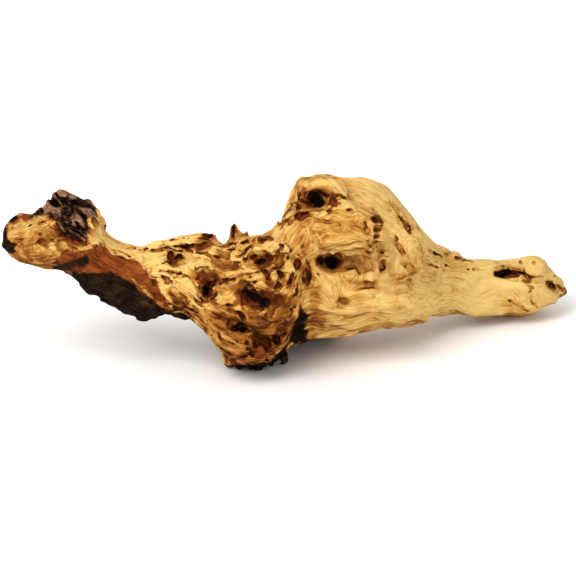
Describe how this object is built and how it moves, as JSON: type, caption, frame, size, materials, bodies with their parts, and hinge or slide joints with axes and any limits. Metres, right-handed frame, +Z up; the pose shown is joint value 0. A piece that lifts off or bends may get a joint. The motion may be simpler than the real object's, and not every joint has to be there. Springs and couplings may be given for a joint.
{
  "type": "mopani wood",
  "caption": "Weathered two-tone driftwood branch with a knobbly root end, a burl full of knot holes on a ragged foot, a high shoulder and a tapering tail.",
  "frame": {"origin": "under the middle of the wood, on the surface it lies on", "axes": "+X along its length from the root end to the tail, +Y to the back, +Z up"},
  "size_m": [0.3056, 0.1326, 0.1102],
  "materials": {
    "wood": "bare weathered hardwood: pale golden sapwood, red-brown heartwood and dark bark"
  },
  "bodies": {
    "root": {"mopani_wood": "wood"}
  },
  "joints": []
}
